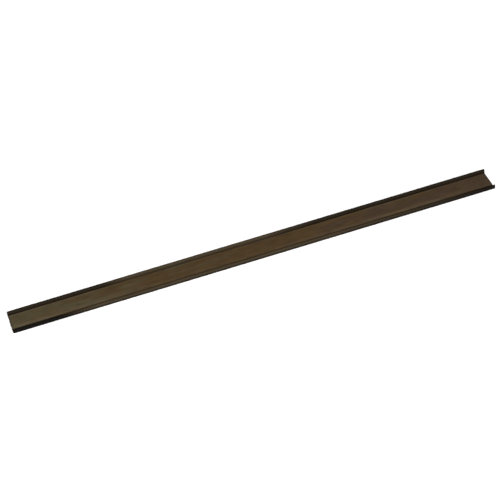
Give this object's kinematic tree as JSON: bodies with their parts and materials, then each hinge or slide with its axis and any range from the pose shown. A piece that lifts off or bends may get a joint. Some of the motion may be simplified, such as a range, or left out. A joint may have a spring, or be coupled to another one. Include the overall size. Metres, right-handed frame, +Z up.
{
  "type": "door sweep",
  "caption": "Adjustable slip-on door bottom: long bronze-brown channel with a sliding front leg, soft grip lips along its legs and flexible sealing fins under its floor.",
  "frame": {"origin": "middle of the sweep's length and width, on the surface that the fin tips stand on", "axes": "+X along the sweep, +Y from the front of the door to its rear, +Z up into the door"},
  "size_m": [0.9144, 0.0533, 0.0222],
  "materials": {
    "brown_enamel": "satin bronze-brown enamel on aluminium",
    "black_vinyl": "semi-gloss soft vinyl",
    "brown_vinyl": "matt soft vinyl"
  },
  "bodies": {
    "channel": {"rear_channel": "brown_enamel", "rear_grip_lip": "black_vinyl", "pocket_gasket": "black_vinyl", "fin_carrier": "brown_vinyl"},
    "sliding_leg": {"front_leg": "brown_enamel", "front_grip_lip": "black_vinyl"},
    "fin_front": {"front_fin": "brown_vinyl"},
    "fin_middle": {"middle_fin": "brown_vinyl"},
    "fin_rear": {"rear_fin": "brown_vinyl"}
  },
  "joints": [
    {"name": "leg_slide", "type": "slide", "parent": "channel", "child": "sliding_leg", "axis": [0, 1, 0], "range_m": [0, 0.0095]},
    {"name": "front_fin_flex", "type": "hinge", "parent": "channel", "child": "fin_front", "pos_m": [0, -0.009, 0.0056], "axis": [1, 0, 0], "range_deg": [-45, 45], "stiffness_Nm_per_rad": 0.4},
    {"name": "middle_fin_flex", "type": "hinge", "parent": "channel", "child": "fin_middle", "pos_m": [0, 0, 0.0056], "axis": [1, 0, 0], "range_deg": [-45, 45], "stiffness_Nm_per_rad": 0.4},
    {"name": "rear_fin_flex", "type": "hinge", "parent": "channel", "child": "fin_rear", "pos_m": [0, 0.009, 0.0056], "axis": [1, 0, 0], "range_deg": [-45, 45], "stiffness_Nm_per_rad": 0.4}
  ]
}
